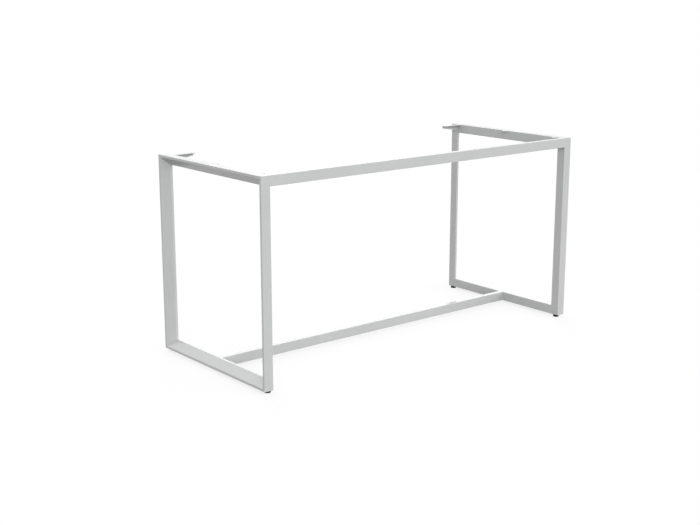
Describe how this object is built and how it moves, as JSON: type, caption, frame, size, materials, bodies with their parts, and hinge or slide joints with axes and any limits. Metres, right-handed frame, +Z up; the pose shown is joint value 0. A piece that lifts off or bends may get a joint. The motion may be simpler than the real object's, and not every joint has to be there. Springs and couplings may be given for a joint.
{
  "type": "table base with triangular-tube loop legs",
  "caption": "Welded steel table base: two mitred loop legs of blunt triangular tube, joined by a front top rail and a low stretcher, with screw lugs, rear arms and glides.",
  "frame": {"origin": "centre of the base's footprint, on the floor under the glides", "axes": "+X along the base from the left leg to the right leg, +Y from the front rail towards the rear arms, +Z up"},
  "size_m": [1.446, 0.615, 0.709],
  "materials": {
    "powder_coat": "satin silver-grey powder coat",
    "glide_plastic": "matt black moulded plastic"
  },
  "bodies": {
    "root": {"front_rail": "powder_coat", "stretcher": "powder_coat", "left_front_post": "powder_coat", "left_top_rail": "powder_coat", "left_rear_post": "powder_coat", "left_foot_rail": "powder_coat", "left_front_lug": "powder_coat", "left_mid_lug": "powder_coat", "left_rear_arm": "powder_coat", "right_front_post": "powder_coat", "right_top_rail": "powder_coat", "right_rear_post": "powder_coat", "right_foot_rail": "powder_coat", "right_front_lug": "powder_coat", "right_mid_lug": "powder_coat", "right_rear_arm": "powder_coat", "left_front_glide": "glide_plastic", "left_rear_glide": "glide_plastic", "right_front_glide": "glide_plastic", "right_rear_glide": "glide_plastic"}
  },
  "joints": []
}
